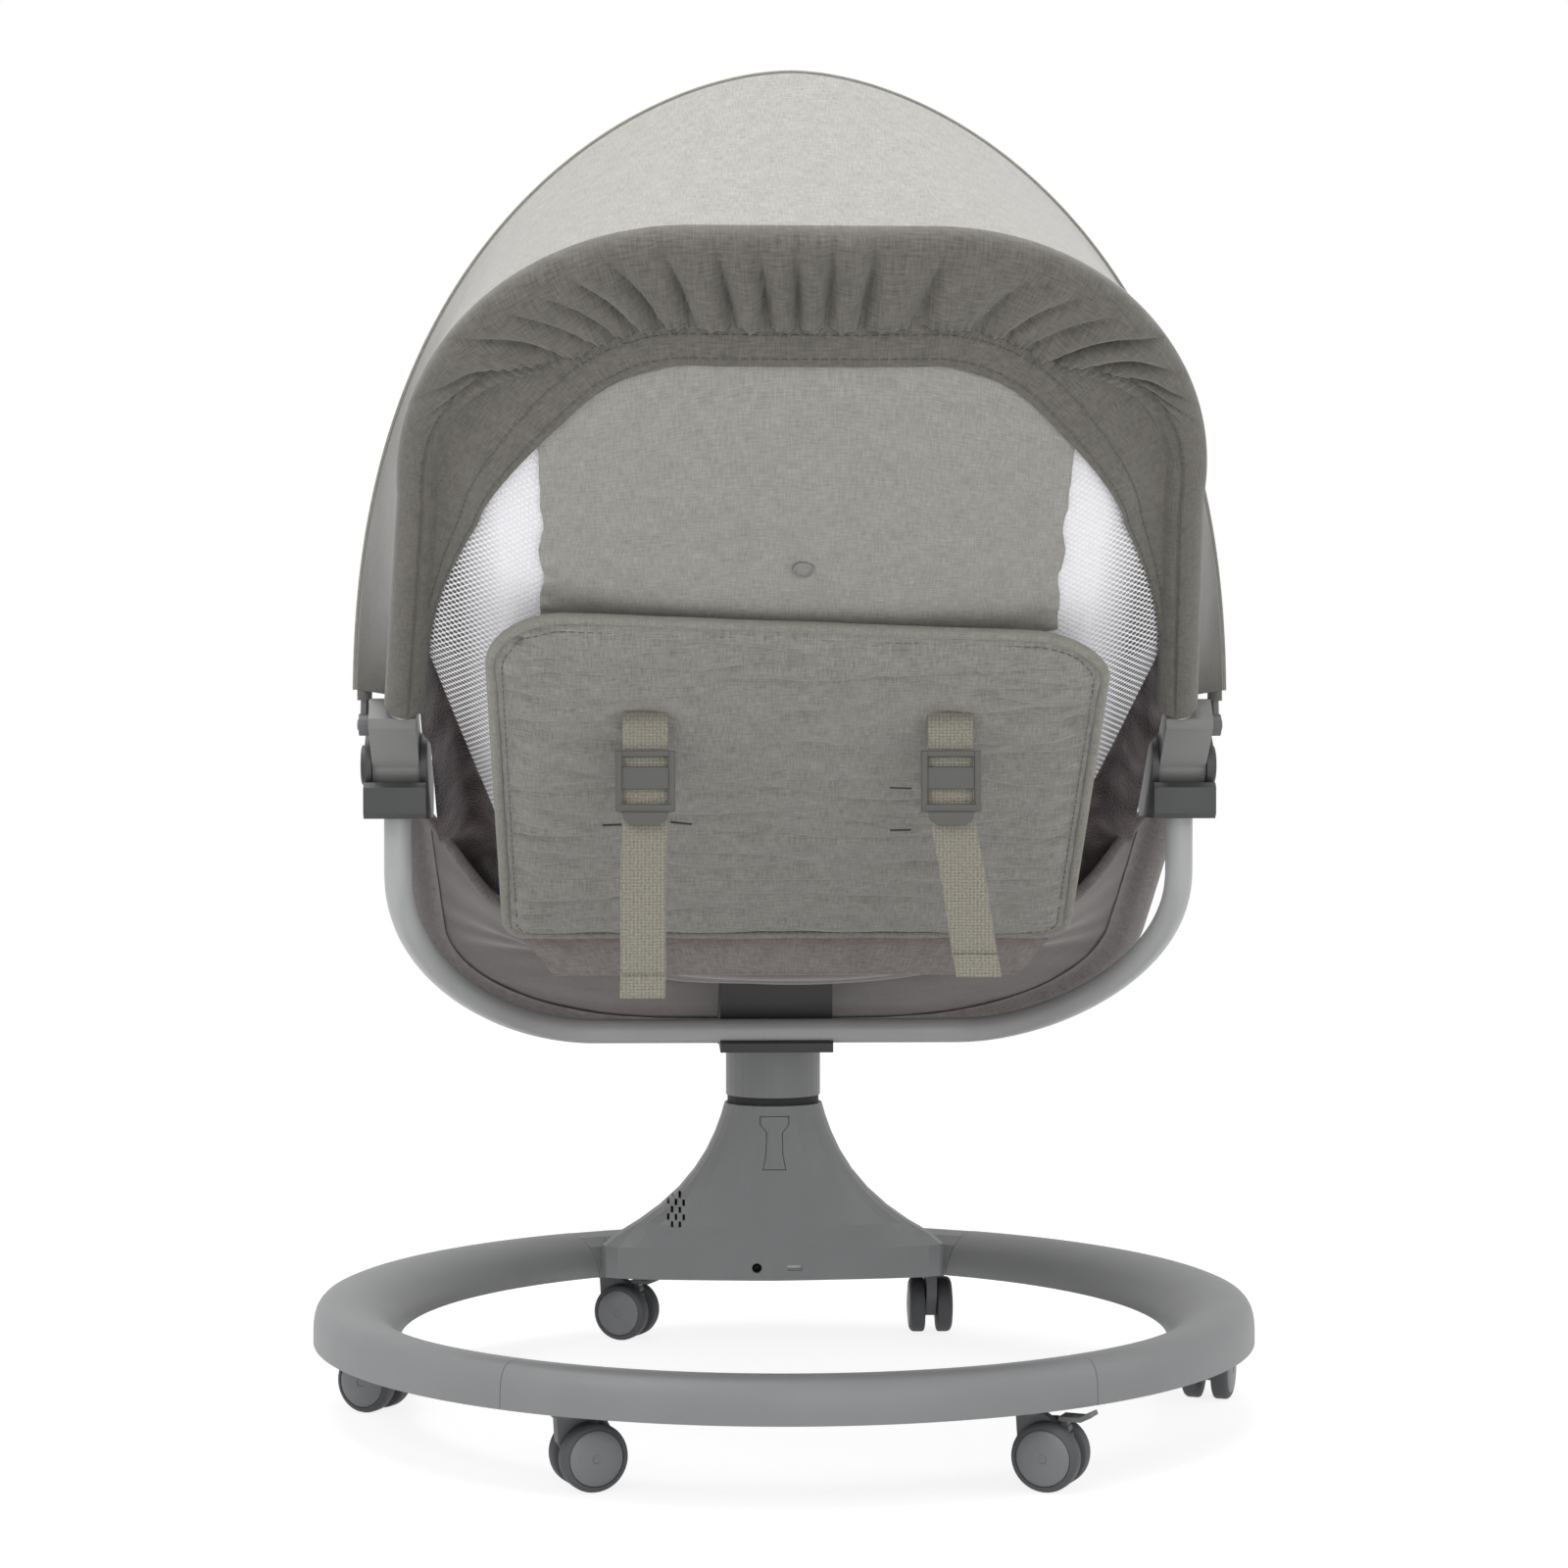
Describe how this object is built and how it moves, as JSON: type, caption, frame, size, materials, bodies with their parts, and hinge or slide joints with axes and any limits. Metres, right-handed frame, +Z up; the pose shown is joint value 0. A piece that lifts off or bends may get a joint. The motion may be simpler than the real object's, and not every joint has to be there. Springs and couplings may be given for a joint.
{
  "type": "electric baby cradle",
  "caption": "Electric swinging baby cradle with a castered base ring, flared pedestal, tube framed seat, reclining padded back and folding canopy.",
  "frame": {"origin": "middle of the footprint at floor level", "axes": "+Z up, +Y towards the head end, +X to the side that is left when seen from behind the back"},
  "size_m": [0.5746, 0.697, 0.7943],
  "materials": {
    "shell_plastic": "satin",
    "dark_plastic": "matte",
    "panel_plastic": "gloss",
    "joint_plastic": "satin",
    "knuckle_plastic": "satin",
    "caster_plastic": "satin",
    "tread_rubber": "matte",
    "black_rubber": "matte",
    "steel": "satin",
    "tube_metal": "satin",
    "spring_wire": "satin",
    "copper_winding": "satin",
    "circuit_board": "matte",
    "heather_cloth": "matte",
    "canopy_cloth": "matte",
    "lining_cloth": "matte",
    "white_mesh": "matte",
    "plush": "matte",
    "webbing": "matte",
    "buckle_plastic": "satin"
  },
  "bodies": {
    "base": {"pedestal_housing": "shell_plastic", "pedestal_bottom_cover": "dark_plastic", "base_ring_left": "shell_plastic", "base_ring_right": "shell_plastic", "base_ring_rear": "shell_plastic", "control_panel": "panel_plastic", "circuit_board": "circuit_board", "speaker": "black_rubber", "dc_jack": "black_rubber", "usb_port": "steel", "drive_coil": "copper_winding", "upper_bearing": "steel", "lower_bearing": "steel", "collar_seal": "black_rubber"},
    "latch": {"release_latch": "shell_plastic"},
    "swing": {"swing_shaft": "steel", "magnet_arm": "dark_plastic", "swing_collar": "shell_plastic", "seat_bracket": "dark_plastic", "carrier_tube": "tube_metal", "joint_housing_left": "joint_plastic", "joint_housing_right": "joint_plastic", "leg_frame_tube": "tube_metal", "seat_sling": "lining_cloth", "seat_pad": "plush"},
    "back": {"recline_knuckle_left": "knuckle_plastic", "recline_knuckle_right": "knuckle_plastic", "back_frame_tube": "tube_metal", "back_mesh": "white_mesh", "back_panel": "heather_cloth", "snap_button": "knuckle_plastic", "padded_panel": "heather_cloth", "strap_left": "webbing", "strap_right": "webbing", "buckle_left": "buckle_plastic", "buckle_right": "buckle_plastic", "back_pad": "plush", "canopy_fabric": "canopy_cloth"},
    "button_left": {"recline_button_left": "caster_plastic"},
    "button_right": {"recline_button_right": "caster_plastic"},
    "canopy": {"canopy_hoop": "spring_wire"},
    "fork_1": {"caster_1_fork": "caster_plastic"},
    "wheels_1": {"caster_1_wheels": "tread_rubber"},
    "brake_1": {"caster_1_brake": "caster_plastic"},
    "fork_2": {"caster_2_fork": "caster_plastic"},
    "wheels_2": {"caster_2_wheels": "tread_rubber"},
    "brake_2": {"caster_2_brake": "caster_plastic"},
    "fork_3": {"caster_3_fork": "caster_plastic"},
    "wheels_3": {"caster_3_wheels": "tread_rubber"},
    "brake_3": {"caster_3_brake": "caster_plastic"},
    "fork_4": {"caster_4_fork": "caster_plastic"},
    "wheels_4": {"caster_4_wheels": "tread_rubber"},
    "brake_4": {"caster_4_brake": "caster_plastic"},
    "fork_5": {"caster_5_fork": "caster_plastic"},
    "wheels_5": {"caster_5_wheels": "tread_rubber"},
    "brake_5": {"caster_5_brake": "caster_plastic"},
    "fork_6": {"caster_6_fork": "caster_plastic"},
    "wheels_6": {"caster_6_wheels": "tread_rubber"},
    "brake_6": {"caster_6_brake": "caster_plastic"}
  },
  "joints": [
    {"name": "seat_swing", "type": "hinge", "parent": "base", "child": "swing", "pos_m": [0, -0.26628, 0.1703], "axis": [0, 0, 1], "range_deg": [-15, 15]},
    {"name": "latch_press", "type": "slide", "parent": "base", "child": "latch", "axis": [0, -1, 0], "range_m": [0, 0.002], "stiffness_N_per_m": 400},
    {"name": "back_recline", "type": "hinge", "parent": "swing", "child": "back", "pos_m": [0, 0.03372, 0.395], "axis": [-1, 0, 0], "range_deg": [0, 25]},
    {"name": "button_press_left", "type": "slide", "parent": "swing", "child": "button_left", "axis": [-1, 0, 0], "range_m": [0, 0.003], "stiffness_N_per_m": 400},
    {"name": "button_press_right", "type": "slide", "parent": "swing", "child": "button_right", "axis": [1, 0, 0], "range_m": [0, 0.003], "stiffness_N_per_m": 400},
    {"name": "canopy_fold", "type": "hinge", "parent": "back", "child": "canopy", "pos_m": [0, 0.06117, 0.41828], "axis": [-1, 0, 0], "range_deg": [-15, 40], "deforming": ["canopy_fabric"]},
    {"name": "caster_1_swivel", "type": "hinge", "parent": "base", "child": "fork_1", "pos_m": [0.12666, 0.16746, 0.046], "axis": [0, 0, 1], "continuous": true},
    {"name": "caster_1_roll", "type": "hinge", "parent": "fork_1", "child": "wheels_1", "pos_m": [0.11538, 0.16336, 0.019], "axis": [0.342, -0.9397, 0], "continuous": true},
    {"name": "caster_1_brake_press", "type": "hinge", "parent": "fork_1", "child": "brake_1", "pos_m": [0.10786, 0.16062, 0.0335], "axis": [0.342, -0.9397, 0], "range_deg": [0, 12]},
    {"name": "caster_2_swivel", "type": "hinge", "parent": "base", "child": "fork_2", "pos_m": [0.26125, -0.06103, 0.046], "axis": [0, 0, 1], "continuous": true},
    {"name": "caster_2_roll", "type": "hinge", "parent": "fork_2", "child": "wheels_2", "pos_m": [0.25086, -0.05503, 0.019], "axis": [-0.5, -0.866, 0], "continuous": true},
    {"name": "caster_2_brake_press", "type": "hinge", "parent": "fork_2", "child": "brake_2", "pos_m": [0.24393, -0.05103, 0.0335], "axis": [-0.5, -0.866, 0], "range_deg": [0, 12]},
    {"name": "caster_3_swivel", "type": "hinge", "parent": "base", "child": "fork_3", "pos_m": [0.11041, -0.29781, 0.046], "axis": [0, 0, 1], "continuous": true},
    {"name": "caster_3_roll", "type": "hinge", "parent": "fork_3", "child": "wheels_3", "pos_m": [0.09953, -0.29273, 0.019], "axis": [-0.4226, -0.9063, 0], "continuous": true},
    {"name": "caster_3_brake_press", "type": "hinge", "parent": "fork_3", "child": "brake_3", "pos_m": [0.09228, -0.28935, 0.0335], "axis": [-0.4226, -0.9063, 0], "range_deg": [0, 12]},
    {"name": "caster_4_swivel", "type": "hinge", "parent": "base", "child": "fork_4", "pos_m": [-0.11041, -0.29781, 0.046], "axis": [0, 0, 1], "continuous": true},
    {"name": "caster_4_roll", "type": "hinge", "parent": "fork_4", "child": "wheels_4", "pos_m": [-0.11041, -0.30981, 0.019], "axis": [1, 0, 0], "continuous": true},
    {"name": "caster_4_brake_press", "type": "hinge", "parent": "fork_4", "child": "brake_4", "pos_m": [-0.11041, -0.31781, 0.0335], "axis": [1, 0, 0], "range_deg": [0, 12]},
    {"name": "caster_5_swivel", "type": "hinge", "parent": "base", "child": "fork_5", "pos_m": [-0.26125, -0.06103, 0.046], "axis": [0, 0, 1], "continuous": true},
    {"name": "caster_5_roll", "type": "hinge", "parent": "fork_5", "child": "wheels_5", "pos_m": [-0.26535, -0.07231, 0.019], "axis": [0.9397, -0.342, 0], "continuous": true},
    {"name": "caster_5_brake_press", "type": "hinge", "parent": "fork_5", "child": "brake_5", "pos_m": [-0.26809, -0.07983, 0.0335], "axis": [0.9397, -0.342, 0], "range_deg": [0, 12]},
    {"name": "caster_6_swivel", "type": "hinge", "parent": "base", "child": "fork_6", "pos_m": [-0.12666, 0.16746, 0.046], "axis": [0, 0, 1], "continuous": true},
    {"name": "caster_6_roll", "type": "hinge", "parent": "fork_6", "child": "wheels_6", "pos_m": [-0.13753, 0.17253, 0.019], "axis": [-0.4226, -0.9063, 0], "continuous": true},
    {"name": "caster_6_brake_press", "type": "hinge", "parent": "fork_6", "child": "brake_6", "pos_m": [-0.14478, 0.17591, 0.0335], "axis": [-0.4226, -0.9063, 0], "range_deg": [0, 12]}
  ]
}
